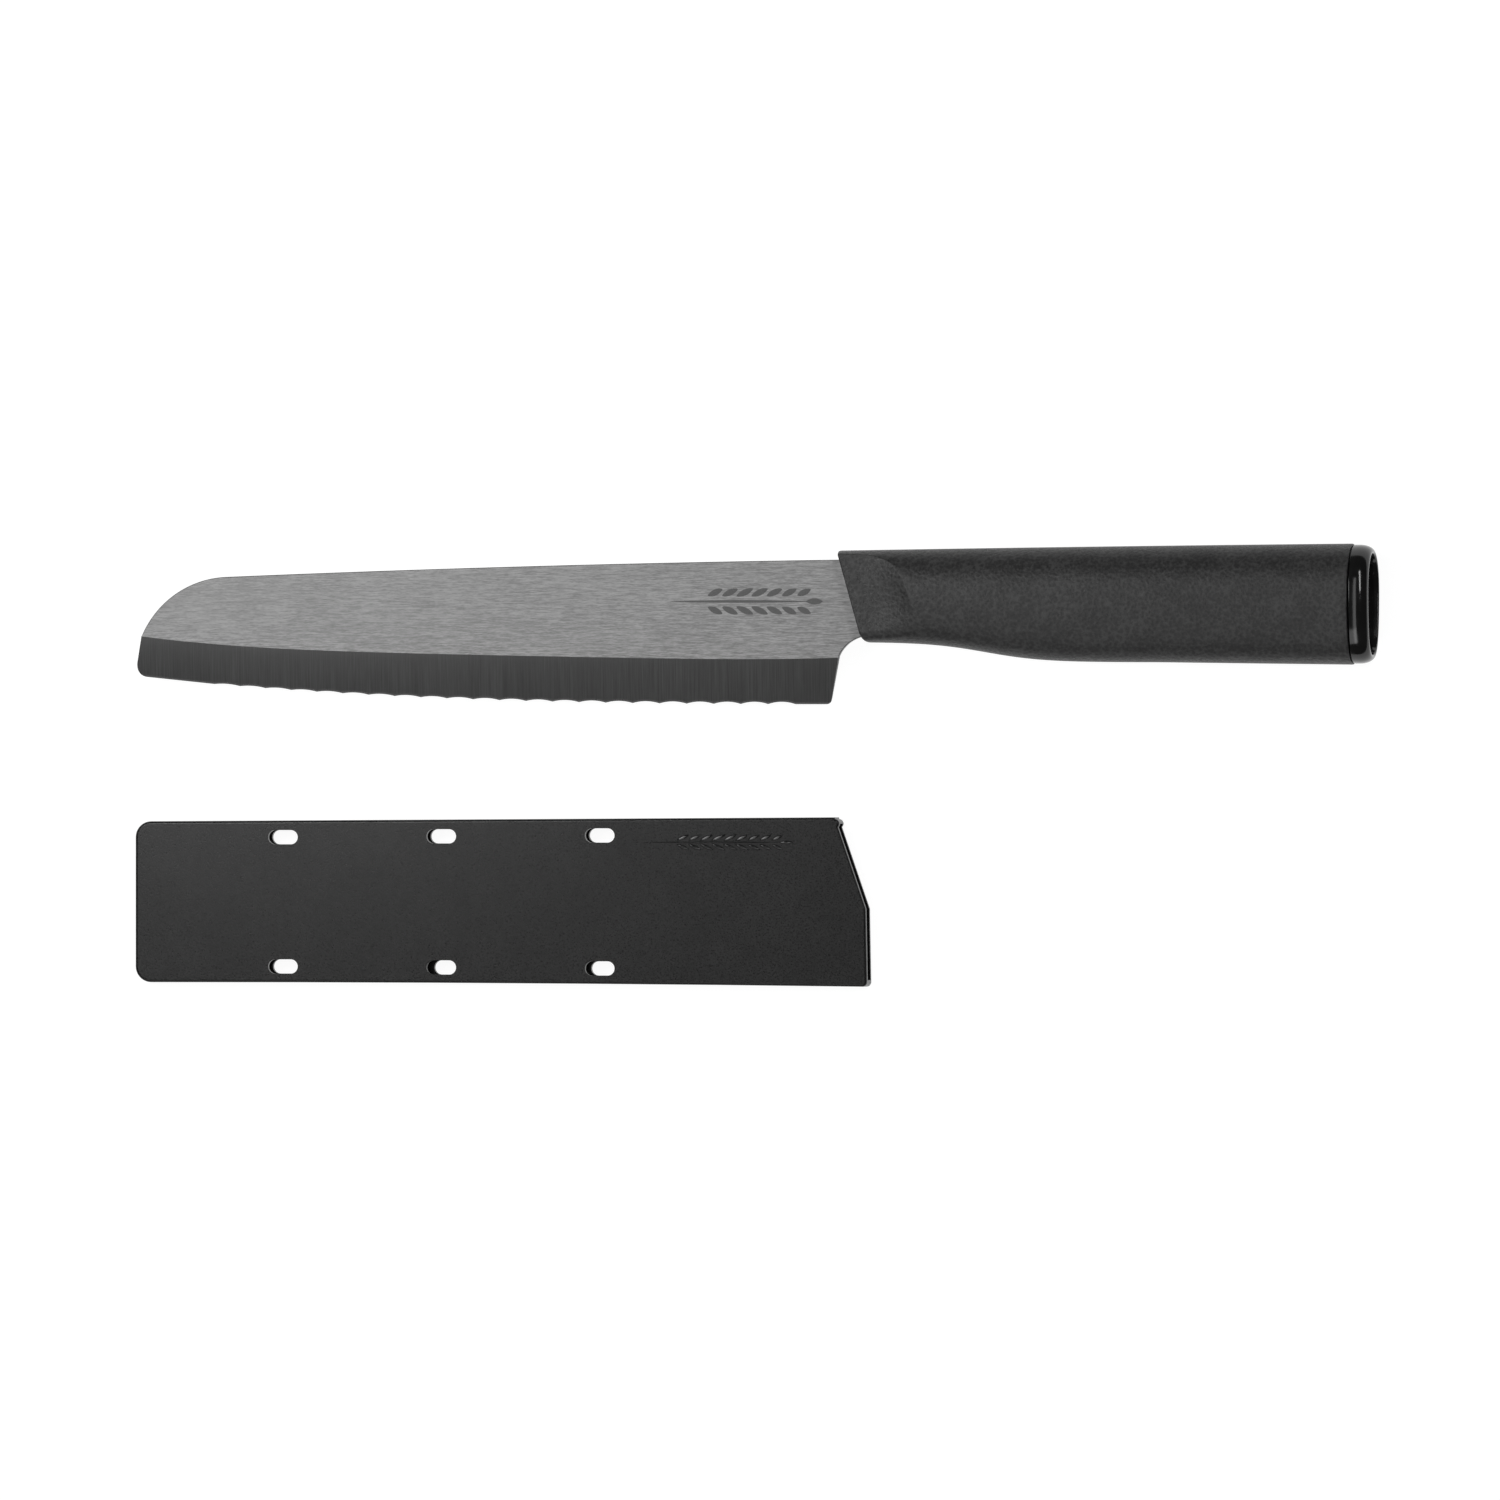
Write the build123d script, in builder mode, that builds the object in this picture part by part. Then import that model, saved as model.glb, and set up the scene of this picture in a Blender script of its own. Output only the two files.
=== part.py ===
from build123d import *

import math
import os

# A bread knife with a ceramic blade, and its blade cover, lying flat side by side on a table.
# Millimetres. +X runs from the blade's tip to the handle's butt, +Y from the cutting edge to the
# spine and +Z up. The origin is on the table, under the middle of the box around both.
#
# On the knife, s is the distance from the blade's tip along X, y the distance from the handle's
# axis towards the spine, and z the height over the blade's mid-plane.

# ---- Layout ----
total_length = 317.4
knife_length = 316.3
knife_y = 40.69
knife_z = 10.6
tip_x = total_length / 2 - knife_length
reach = 40.0  # half the size of the blocks that trim other bodies

# ---- Blade ----
blade_thickness = 2.0
spine_nose = (22.9, 6.85)
spine_crown = (103.3, 9.58)
spine_heel_y = 11.15
nose_end = (1.3, -8.1)
toe_corner = (-0.45, -18.05)
toe_radius = 2.8
heel_s = 176.5
heel_y = -25.28
heel_corner = (177.8, -25.28)
heel_radius = 1.3
choil_foot = (179.4, -14.8)
choil_middle = (181.5, -10.8)
choil_top = (185.4, -8.4)
choil_run_in = 1.0

# ---- Cutting edge: its line climbs towards the tip, slowly at first and then faster ----
edge_half = 0.15
edge_slope_rise = 0.3
edge_toe_rise = 6.7
edge_toe_power = 2.7

# ---- Serrations: shallow scallops that shrink towards the tip ----
scallops = 22
scallop_start = 168.7
scallop_pitch = 7.0
scallop_pitch_step = 0.0225
scallop_depth_heel = 0.6
scallop_depth_toe = 0.3

# Where the bevel leaves the flat of the blade: (s, y)
bevel_line = [
    (-3.0, -7.5),
    (14.8, -9.7),
    (34.9, -11.1),
    (62.0, -12.05),
    (95.0, -13.1),
    (130.0, -13.6),
    (184.0, -13.4),
]
bevel_overcut = 2.0

# ---- Tang, its adhesive and its pins, hidden in the handle ----
tang_top = 8.0
tang_bottom = -5.0
tang_end_s = 244.0
tang_seat = 1.5
bond_gap = 0.25
pin_radius = 2.2
pin_length = 8.0
pin_stations = (205.0, 230.0)
pin_y = 1.5

# ---- Handle outline: the front face is a slanted line, the belly an S-curve ----
front_top = (180.1, 13.5)
front_bottom = (186.4, -9.0)
front_round = 1.2
seam_s = 311.2
curve_start_s = 180.0
top_front = 13.42
top_rise = 1.68
top_crown = 0.5
bottom_middle = -12.2
belly_half_drop = 2.55
belly_s = 217.3
belly_spread = 14.8
tail_start_s = 262.0
tail_drop = 0.6

# ---- Handle cross-section: an egg, widest a little towards the spine, squarer at the front ----
widest_y = 3.0
half_front = 8.6
half_butt = 10.6
fullness_above = 0.6
fullness_below = 0.72
fullness_front = 0.86
square_until_s = 180.0
round_from_s = 206.0
body_start_s = 172.0
section_step = 10.0

# ---- Neck: each side is cut flat, and then scooped out to a crease ----
neck_half = 6.0
scoop_start_s = 186.0
scoop_radius = 28.0
scoop_sweep = 35.0

# ---- Core inside the grip, and the end cap ----
core_wall = 2.6
core_front_gap = 2.4
hollow_start_s = 252.0
hollow_inset = 5.0
socket_start_s = 302.5
socket_inset = 4.8
spigot_gap = 0.3
spigot_clear = 0.5
seam_gap = 0.3
cap_inset = 0.25
cap_ring_wall = 2.25
cap_round = 1.6
cap_lip_round = 0.5
cap_recess_depth = 3.4

# ---- Blade cover: a thin sleeve, a little wider at its slanted mouth ----
cover_end_x = -total_length / 2
cover_y = -34.44
cover_length = 187.45
cover_thickness = 7.4
cover_wall = 1.6
cover_height_end = 40.6
cover_height_mouth = 42.7
cover_bow = 0.33  # how far the lower edge arches in
cover_corner = 4.0
cover_round = 0.7
mouth_corner = 1.2
mouth_top_back = 8.3
mouth_kink_back = 0.35
mouth_slant_drop = 23.05
mouth_overrun = 5.0
lug_radius = 1.2
lug_drop = 1.6
slot_length = 7.6
slot_width = 3.6
slot_margin = 4.2
slot_first = 37.9
slot_pitch = 40.6
# How much shorter than its top opening each slot is in the underside, by column
slot_trims_upper = (0.0, 0.0, 0.0)
slot_trims_lower = (0.2, 1.0, 0.6)

os.makedirs("parts", exist_ok=True)


def flat(z=0.0):
    """Plane along the knife at height z over the blade's mid-plane, with local (s, y)."""
    return Plane(origin=(tip_x, knife_y, knife_z + z))


def along():
    """Plane along the knife, facing down from its spine side, with local (s, z)."""
    return Plane(origin=(tip_x, knife_y + reach, knife_z), x_dir=(1, 0, 0), z_dir=(0, -1, 0))


def across(s):
    """Plane across the knife at s from the tip, with local (y, z)."""
    return Plane(origin=(tip_x + s, knife_y, knife_z), x_dir=(0, 1, 0), z_dir=(1, 0, 0))


def front_line(y, back=0.0):
    """The handle's slanted front face at height y, moved back along the knife."""
    run = (front_bottom[0] - front_top[0]) / (front_top[1] - front_bottom[1])
    return (front_top[0] + run * (front_top[1] - y) + back, y)


# ---------------------------------------------------------------- blade


def edge_y(s):
    """Height of the cutting edge's line of teeth."""
    u = (heel_s - min(max(s, 0.0), heel_s)) / heel_s
    return heel_y + edge_slope_rise * u + edge_toe_rise * u**edge_toe_power


def cusps():
    """The points of the teeth, from the heel to the tip."""
    points = []
    s = scallop_start
    for tooth in range(scallops + 1):
        points.append((s, edge_y(s)))
        s -= scallop_pitch - scallop_pitch_step * tooth
    return points


def scallop_middle(low, high, share):
    """The deepest point of the scallop between two teeth; share is 0 at the heel, 1 at the tip."""
    depth = scallop_depth_heel + (scallop_depth_toe - scallop_depth_heel) * share
    return ((low[0] + high[0]) / 2, (low[1] + high[1]) / 2 + depth)


def bevel_wedge(s, y):
    """Section of what grinding removes on one face, from the flat down past the edge."""
    half = blade_thickness / 2
    slope = (half - edge_half) / (y - edge_y(s))
    low = edge_y(s) - bevel_overcut
    with BuildSketch(across(s)) as section:
        with BuildLine():
            Polyline(
                (y, half),
                (low, half - slope * (y - low)),
                (low, blade_thickness),
                (y, blade_thickness),
                close=True,
            )
        make_face()
    return section.sketch


with BuildPart() as pin_pair:
    with BuildSketch(flat(-pin_length / 2)):
        with Locations(*[(s, pin_y) for s in pin_stations]):
            Circle(pin_radius)
    extrude(amount=pin_length)

with BuildPart() as blade:
    with BuildSketch(flat(-blade_thickness / 2)):
        with BuildLine():
            teeth = cusps()
            spine_end = front_line(spine_heel_y, tang_seat)
            spine = ThreePointArc(spine_end, spine_crown, spine_nose)
            TangentArc(spine_nose, nose_end, tangent=spine % 1)
            Polyline(nose_end, toe_corner, teeth[-1])
            for tooth in range(scallops, 0, -1):
                low, high = teeth[tooth], teeth[tooth - 1]
                ThreePointArc(low, scallop_middle(low, high, tooth / scallops), high)
            Polyline(teeth[0], (heel_s, heel_y), heel_corner, choil_foot)
            ThreePointArc(choil_foot, choil_middle, choil_top)
            Polyline(
                choil_top,
                front_line(choil_top[1] + choil_run_in, tang_seat),
                front_line(tang_bottom, tang_seat),
                (tang_end_s, tang_bottom),
                (tang_end_s, tang_top),
                front_line(tang_top, tang_seat),
                spine_end,
            )
        make_face()
    extrude(amount=blade_thickness)
    wedges = loft(sections=[bevel_wedge(s, y) for s, y in bevel_line], mode=Mode.PRIVATE)
    add(wedges, mode=Mode.SUBTRACT)
    add(mirror(wedges, about=flat(), mode=Mode.PRIVATE), mode=Mode.SUBTRACT)
    for corner, radius in ((toe_corner, toe_radius), (heel_corner, heel_radius)):
        place = (tip_x + corner[0], knife_y + corner[1], knife_z)
        fillet(blade.edges().filter_by(Axis.Z).sort_by_distance(place)[0], radius)
    add(pin_pair.part, mode=Mode.SUBTRACT)

blade.part.label = "blade"
export_step(blade.part, "parts/blade.step")

# ---------------------------------------------------------------- handle sections


def ease(low, high, s):
    """0 up to low, 1 from high on, and an S-curve between."""
    u = min(max((s - low) / (high - low), 0.0), 1.0)
    return u * u * (3.0 - 2.0 * u)


def handle_top(s):
    u = (s - curve_start_s) / (seam_s - curve_start_s)
    return top_front + top_rise * u + top_crown * u * (1.0 - u)


def handle_bottom(s):
    tail = tail_drop * max(s - tail_start_s, 0.0) / (seam_s - tail_start_s)
    return bottom_middle - belly_half_drop * math.tanh((s - belly_s) / belly_spread) - tail


def grip_half(s):
    """Half the thickness of the grip."""
    return half_front + (half_butt - half_front) * (s - curve_start_s) / (seam_s - curve_start_s)


def fullness(s, behind):
    """How square the cross-section is at s, from the front's value to the value behind it."""
    squareness = 1.0 - ease(square_until_s, round_from_s, s)
    return behind + (fullness_front - behind) * squareness


def egg(plane, s, inset=0.0):
    """The handle's cross-section at s: four curves that meet at its top, bottom and sides."""
    up = handle_top(s) - inset - widest_y
    down = widest_y - handle_bottom(s) - inset
    half = grip_half(s) - inset
    above = fullness(s, fullness_above)
    below = fullness(s, fullness_below)
    quarters = (
        (up, half, above),
        (-down, half, below),
        (-down, -half, below),
        (up, -half, above),
    )
    with BuildSketch(plane) as section:
        with BuildLine():
            for rise, side, full in quarters:
                Bezier(
                    (widest_y + rise, 0),
                    (widest_y + rise, full * side),
                    (widest_y + full * rise, side),
                    (widest_y, side),
                )
        make_face()
    return section.sketch


def body(low, high, inset=0.0):
    """Solid through evenly spaced cross-sections from low to high."""
    steps = round((high - low) / section_step)
    stations = [low + (high - low) * step / steps for step in range(steps + 1)]
    return loft(sections=[egg(across(s), s, inset) for s in stations], mode=Mode.PRIVATE)


def neck_cutter(inset=0.0):
    """What the neck's flat and scoop take off one side, with the cut's floor lowered by inset."""
    floor = neck_half - inset
    with BuildPart() as cutter:
        with BuildSketch(along()):
            with BuildLine():
                scoop = CenterArc(
                    (scoop_start_s, floor + scoop_radius), scoop_radius, -90, scoop_sweep
                )
                Polyline(
                    scoop @ 0,
                    (body_start_s - section_step, floor),
                    (body_start_s - section_step, reach),
                    (scoop_start_s + reach, reach),
                    scoop @ 1,
                )
            make_face()
        extrude(amount=2 * reach)
    return cutter.part


def slanted(back):
    """All the space behind the slanted front face, moved back."""
    with BuildPart() as space:
        with BuildSketch(flat(-reach)):
            with BuildLine():
                Polyline(
                    front_line(reach, back),
                    front_line(-reach, back),
                    (knife_length + reach, -reach),
                    (knife_length + reach, reach),
                    close=True,
                )
            make_face()
        extrude(amount=2 * reach)
    return space.part


# What the tang and its adhesive take up in the core
with BuildPart() as bonded_tang:
    with BuildSketch(flat(-blade_thickness / 2 - bond_gap)):
        with BuildLine():
            Polyline(
                front_line(tang_bottom - bond_gap, core_front_gap),
                (tang_end_s + bond_gap, tang_bottom - bond_gap),
                (tang_end_s + bond_gap, tang_top + bond_gap),
                front_line(tang_top + bond_gap, core_front_gap),
                close=True,
            )
        make_face()
    extrude(amount=blade_thickness + 2 * bond_gap)

with BuildPart() as core_body:
    add(body(body_start_s, seam_s, core_wall))
    add(slanted(core_front_gap), mode=Mode.INTERSECT)
    add(neck_cutter(core_wall), mode=Mode.SUBTRACT)
    add(mirror(neck_cutter(core_wall), about=flat(), mode=Mode.PRIVATE), mode=Mode.SUBTRACT)

# ---------------------------------------------------------------- grip sleeve

with BuildPart() as grip_sleeve:
    add(body(body_start_s, seam_s))
    add(slanted(0.0), mode=Mode.INTERSECT)
    fillet(grip_sleeve.faces().sort_by(Axis.X)[0].edges(), front_round)
    add(neck_cutter(), mode=Mode.SUBTRACT)
    add(mirror(neck_cutter(), about=flat(), mode=Mode.PRIVATE), mode=Mode.SUBTRACT)
    add(core_body.part, mode=Mode.SUBTRACT)
    # The slot that the blade enters by
    add(blade.part, mode=Mode.SUBTRACT)
    with BuildSketch(flat(-blade_thickness / 2)):
        with BuildLine():
            Polyline(
                front_line(tang_bottom, -tang_seat),
                front_line(tang_bottom, 2 * core_front_gap),
                front_line(tang_top, 2 * core_front_gap),
                front_line(tang_top, -tang_seat),
                close=True,
            )
        make_face()
    extrude(amount=blade_thickness, mode=Mode.SUBTRACT)

grip_sleeve.part.label = "grip_sleeve"
export_step(grip_sleeve.part, "parts/grip_sleeve.step")

# ---------------------------------------------------------------- core halves

with BuildPart() as handle_core:
    add(core_body.part)
    add(body(hollow_start_s, socket_start_s, hollow_inset), mode=Mode.SUBTRACT)
    add(body(socket_start_s, seam_s + section_step, socket_inset), mode=Mode.SUBTRACT)
    add(bonded_tang.part, mode=Mode.SUBTRACT)
    add(pin_pair.part, mode=Mode.SUBTRACT)

with BuildPart() as handle_core_left:
    add(handle_core.part)
    split(bisect_by=flat(), keep=Keep.TOP)

handle_core_left.part.label = "handle_core_left"
export_step(handle_core_left.part, "parts/handle_core_left.step")

with BuildPart() as handle_core_right:
    add(handle_core.part)
    split(bisect_by=flat(), keep=Keep.BOTTOM)

handle_core_right.part.label = "handle_core_right"
export_step(handle_core_right.part, "parts/handle_core_right.step")

# ---------------------------------------------------------------- pins and adhesive

with BuildPart() as tang_pins:
    add(pin_pair.part)

tang_pins.part.label = "tang_pins"
export_step(tang_pins.part, "parts/tang_pins.step")

with BuildPart() as tang_bond:
    add(bonded_tang.part)
    add(blade.part, mode=Mode.SUBTRACT)
    add(pin_pair.part, mode=Mode.SUBTRACT)

tang_bond.part.label = "tang_bond"
export_step(tang_bond.part, "parts/tang_bond.step")

# ---------------------------------------------------------------- end cap

cap_front = across(seam_s + seam_gap)
recess_plane = across(knife_length - cap_recess_depth)
spigot_plane = across(socket_start_s + spigot_clear)

with BuildPart() as end_cap:
    extrude(egg(cap_front, seam_s, cap_inset), amount=knife_length - seam_s - seam_gap)
    fillet(end_cap.faces().sort_by(Axis.X)[-1].edges(), cap_round)
    recess = egg(recess_plane, seam_s, cap_inset + cap_ring_wall)
    extrude(recess, amount=cap_recess_depth, mode=Mode.SUBTRACT)
    fillet(end_cap.faces().sort_by(Axis.X)[-1].inner_wires()[0].edges(), cap_lip_round)
    # The spigot that plugs the core
    spigot = egg(spigot_plane, seam_s, socket_inset + spigot_gap)
    extrude(spigot, amount=seam_s + seam_gap - socket_start_s - spigot_clear)

end_cap.part.label = "end_cap"
export_step(end_cap.part, "parts/end_cap.step")

# ---------------------------------------------------------------- blade cover


def cover_outline(z, inset, overrun):
    """The sleeve's outline at height z, inset all round but for its mouth, which overruns."""
    end_x = cover_end_x + inset
    mouth_x = cover_end_x + cover_length + overrun
    half_end = cover_height_end / 2 - inset
    half_mouth = cover_height_mouth / 2 - inset
    kink_y = cover_y + cover_height_mouth / 2 - mouth_slant_drop
    with BuildSketch(Plane.XY.offset(z)) as outline:
        with BuildLine():
            Polyline(
                (mouth_x, cover_y - half_mouth),
                (mouth_x - mouth_kink_back, kink_y),
                (mouth_x - mouth_top_back, cover_y + half_mouth),
                (end_x, cover_y + half_end),
                (end_x, cover_y - half_end),
            )
            low_middle = cover_y - (half_end + half_mouth) / 2 + cover_bow
            ThreePointArc(
                (end_x, cover_y - half_end),
                ((end_x + mouth_x) / 2, low_middle),
                (mouth_x, cover_y - half_mouth),
            )
        make_face()
        fillet(outline.vertices().group_by(Axis.X)[0], cover_corner - inset)
    return outline.sketch


def slot_place(column, side):
    """Centre of a through slot: side is 1 in the row along the top, -1 along the bottom."""
    x = slot_first + slot_pitch * column
    flare = (cover_height_mouth - cover_height_end) * x / cover_length
    edge = (cover_height_end + flare) / 2
    return (cover_end_x + x, cover_y + side * (edge - slot_margin))


with BuildSketch() as cover_face:
    add(cover_outline(0.0, 0.0, 0.0))
    low_mouth = (cover_end_x + cover_length, cover_y - cover_height_mouth / 2)
    fillet(cover_face.vertices().sort_by_distance(low_mouth)[0], mouth_corner)
    # The small rounded lug at the top of the mouth
    lug_x = cover_end_x + cover_length - mouth_top_back
    with Locations((lug_x, cover_y + cover_height_mouth / 2 - lug_drop)):
        Circle(lug_radius)

with BuildPart() as blade_cover:
    extrude(cover_face.sketch, amount=cover_thickness)
    fillet(blade_cover.faces().filter_by(Axis.Z).edges(), cover_round)
    cavity = cover_outline(cover_wall, cover_wall, mouth_overrun)
    extrude(cavity, amount=cover_thickness - 2 * cover_wall, mode=Mode.SUBTRACT)
    for side, trims in ((1, slot_trims_upper), (-1, slot_trims_lower)):
        for column, trim in enumerate(trims):
            x, y = slot_place(column, side)
            with BuildSketch(Plane.XY.offset(cover_thickness / 2)):
                with Locations((x, y)):
                    SlotOverall(slot_length, slot_width)
            extrude(amount=cover_thickness / 2, mode=Mode.SUBTRACT)
            with BuildSketch():
                with Locations((x + trim / 2, y)):
                    SlotOverall(slot_length - trim, slot_width)
            extrude(amount=cover_thickness / 2, mode=Mode.SUBTRACT)

blade_cover.part.label = "blade_cover"
export_step(blade_cover.part, "parts/blade_cover.step")
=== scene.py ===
"""A bread knife with a ceramic blade, and its blade cover lying beside it."""

import math

import bmesh
import bpy
import numpy as np
from mathutils import Matrix, Vector


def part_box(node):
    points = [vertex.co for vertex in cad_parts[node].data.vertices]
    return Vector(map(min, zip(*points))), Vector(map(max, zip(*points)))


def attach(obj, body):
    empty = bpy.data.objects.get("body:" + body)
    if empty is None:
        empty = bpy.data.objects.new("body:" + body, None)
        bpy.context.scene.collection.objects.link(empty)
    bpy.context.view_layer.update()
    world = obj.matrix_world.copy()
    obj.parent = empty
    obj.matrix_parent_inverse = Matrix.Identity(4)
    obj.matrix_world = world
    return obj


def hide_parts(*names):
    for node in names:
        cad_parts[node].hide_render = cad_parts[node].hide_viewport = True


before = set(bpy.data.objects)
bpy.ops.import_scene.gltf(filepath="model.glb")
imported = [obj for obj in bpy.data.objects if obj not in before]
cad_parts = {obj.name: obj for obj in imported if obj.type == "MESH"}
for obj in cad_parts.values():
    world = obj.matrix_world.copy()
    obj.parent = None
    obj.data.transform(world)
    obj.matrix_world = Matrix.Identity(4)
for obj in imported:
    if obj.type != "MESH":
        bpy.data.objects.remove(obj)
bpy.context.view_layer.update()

MM = 0.001

# ---------------------------------------------------------------- the frame's own places, in mm
# On the knife, s is the distance from the blade's tip, y the height over the handle's axis
# and z the height over the blade's mid-plane.


def box_mm(node):
    """A node's lowest and highest corners at rest, in mm."""
    low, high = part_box(node)
    return np.array(low) / MM, np.array(high) / MM


BLADE_LOW, BLADE_HIGH = box_mm("blade")
CAP_HIGH, GRIP_HIGH, COVER_HIGH = (box_mm(node)[1]
                                   for node in ("end_cap", "grip_sleeve", "blade_cover"))

KNIFE_LENGTH = 316.3
TIP_X = CAP_HIGH[0] - KNIFE_LENGTH
CAP_TOP = 14.86
KNIFE_Y = CAP_HIGH[1] - CAP_TOP
KNIFE_Z = (BLADE_LOW[2] + BLADE_HIGH[2]) / 2
SEAM_S = GRIP_HIGH[0] - TIP_X


def place(points):
    """Knife coordinates (s, y, z) in mm as frame coordinates in metres."""
    shift = np.array([TIP_X, KNIFE_Y, KNIFE_Z])
    return (np.asarray(points, dtype=float) + shift) * MM


def mesh_object(name, verts, faces, material_index=None):
    """A mesh object from metres; faces may be any polygons."""
    mesh = bpy.data.meshes.new(name)
    mesh.from_pydata([tuple(v) for v in verts], [], [tuple(int(i) for i in f) for f in faces])
    if material_index is not None:
        mesh.polygons.foreach_set("material_index", list(material_index))
    mesh.polygons.foreach_set("use_smooth", [True] * len(mesh.polygons))
    mesh.update()
    obj = bpy.data.objects.new(name, mesh)
    bpy.context.collection.objects.link(obj)
    return obj


def fix_normals(obj):
    """Turns every face of a closed mesh outwards."""
    bm = bmesh.new()
    bm.from_mesh(obj.data)
    bmesh.ops.recalc_face_normals(bm, faces=bm.faces)
    bm.to_mesh(obj.data)
    bm.free()


def sharpen(obj, degrees=30.0):
    """Keeps edges sharper than the angle crisp, and shades the rest smooth."""
    bm = bmesh.new()
    bm.from_mesh(obj.data)
    limit = math.radians(degrees)
    for edge in bm.edges:
        if len(edge.link_faces) == 2:
            edge.smooth = edge.calc_face_angle(0.0) < limit
    bm.to_mesh(obj.data)
    bm.free()


# ---------------------------------------------------------------- materials


class Graph:
    """A small helper around one material's node tree."""

    def __init__(self, name):
        self.material = bpy.data.materials.new(name)
        self.material.use_nodes = True
        self.tree = self.material.node_tree
        self.shader = self.tree.nodes["Principled BSDF"]
        self.coords = self.tree.nodes.new("ShaderNodeTexCoord").outputs["Object"]

    def link(self, a, b):
        self.tree.links.new(a, b)

    def set(self, **values):
        for key, value in values.items():
            self.shader.inputs[key.replace("_", " ")].default_value = value

    def stretched(self, scale):
        """Object coordinates times a scale for each axis, in cells per metre."""
        mapping = self.tree.nodes.new("ShaderNodeMapping")
        mapping.inputs["Scale"].default_value = scale
        self.link(self.coords, mapping.inputs["Vector"])
        return mapping.outputs["Vector"]

    def noise(self, scale, detail=3.0, rough=0.55):
        """Smooth noise, in cells per metre along each axis."""
        node = self.tree.nodes.new("ShaderNodeTexNoise")
        node.inputs["Scale"].default_value = 1.0
        node.inputs["Detail"].default_value = detail
        node.inputs["Roughness"].default_value = rough
        self.link(self.stretched(scale), node.inputs["Vector"])
        return node.outputs["Fac"]

    def cells(self, scale, smoothness=0.6):
        """Distance to rounded cells, in cells per metre along each axis."""
        node = self.tree.nodes.new("ShaderNodeTexVoronoi")
        node.feature = "SMOOTH_F1"
        node.inputs["Scale"].default_value = 1.0
        node.inputs["Smoothness"].default_value = smoothness
        self.link(self.stretched(scale), node.inputs["Vector"])
        return node.outputs["Distance"]

    def ramp(self, value, stops):
        """A ramp through (position, grey or colour) stops."""
        node = self.tree.nodes.new("ShaderNodeValToRGB")
        elements = node.color_ramp.elements
        while len(elements) < len(stops):
            elements.new(0.5)
        for element, (position, colour) in zip(elements, stops):
            grey = isinstance(colour, (int, float))
            element.position = position
            element.color = (colour,) * 3 + (1.0,) if grey else tuple(colour) + (1.0,)
        self.link(value, node.inputs["Fac"])
        return node.outputs["Color"]

    def math(self, operation, a, b):
        """One sum or product of sockets or plain numbers."""
        node = self.tree.nodes.new("ShaderNodeMath")
        node.operation = operation
        for socket, value in zip(node.inputs, (a, b)):
            if isinstance(value, (int, float)):
                socket.default_value = value
            else:
                self.link(value, socket)
        return node.outputs["Value"]

    def bump(self, height, strength, distance):
        node = self.tree.nodes.new("ShaderNodeBump")
        node.inputs["Strength"].default_value = strength
        node.inputs["Distance"].default_value = distance
        self.link(height, node.inputs["Height"])
        self.link(node.outputs["Normal"], self.shader.inputs["Normal"])

    def base(self, colour):
        self.link(colour, self.shader.inputs["Base Color"])

    def roughness(self, value):
        self.link(value, self.shader.inputs["Roughness"])


def grey(level):
    return (level, level, level)


def blade_flat_material():
    """Light, fine-brushed ceramic: short streaks run along the blade."""
    g = Graph("blade_flat")
    streaks = g.noise((300, 3400, 900), detail=3.0, rough=0.6)
    fine = g.noise((900, 8000, 1200), detail=2.0)
    broad = g.noise((60, 160, 60), detail=3.0)
    tone = g.math("ADD", g.math("MULTIPLY", streaks, 0.6), g.math("MULTIPLY", fine, 0.32))
    tone = g.math("ADD", tone, g.math("MULTIPLY", broad, 0.08))
    g.base(g.ramp(tone, [(0.4, grey(0.12)), (0.5, grey(0.2)), (0.6, grey(0.29))]))
    g.roughness(g.ramp(streaks, [(0.3, 0.4), (0.7, 0.55)]))
    g.bump(streaks, 0.3, 0.00002)
    g.set(IOR=1.6, Specular_IOR_Level=0.4)
    return g.material


def blade_bevel_material():
    """The ground bevel: darker, with fine grinding lines across it."""
    g = Graph("blade_bevel")
    lines = g.noise((3800, 70, 70), detail=3.0, rough=0.65)
    broad = g.noise((160, 60, 60), detail=3.0)
    tone = g.math("ADD", g.math("MULTIPLY", lines, 0.75), g.math("MULTIPLY", broad, 0.25))
    g.base(g.ramp(tone, [(0.3, grey(0.011)), (0.5, grey(0.021)), (0.72, grey(0.036))]))
    g.roughness(g.ramp(lines, [(0.3, 0.34), (0.7, 0.46)]))
    g.bump(lines, 0.3, 0.00002)
    g.set(IOR=1.5, Specular_IOR_Level=0.3)
    return g.material


def edge_lip_and_painted_rim_material():
    """The narrow honed edge and its scallops. On the eased outline and the blade's rim walls the
    same dark colour is painted shade, a dark line drawn round the blade's outline.
    """
    g = Graph("blade_lip_and_painted_rim")
    lines = g.noise((5200, 400, 400), detail=2.0)
    g.base(g.ramp(lines, [(0.3, grey(0.02)), (0.7, grey(0.045))]))
    g.roughness(g.ramp(lines, [(0.3, 0.25), (0.7, 0.4)]))
    return g.material


def ink_material():
    """Dark grey print, a little worn."""
    g = Graph("blade_print")
    wear = g.noise((2500, 2500, 2500), detail=4.0, rough=0.7)
    g.base(g.ramp(wear, [(0.35, grey(0.055)), (0.7, grey(0.085))]))
    g.roughness(g.ramp(wear, [(0.3, 0.5), (0.7, 0.7)]))
    return g.material


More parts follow.
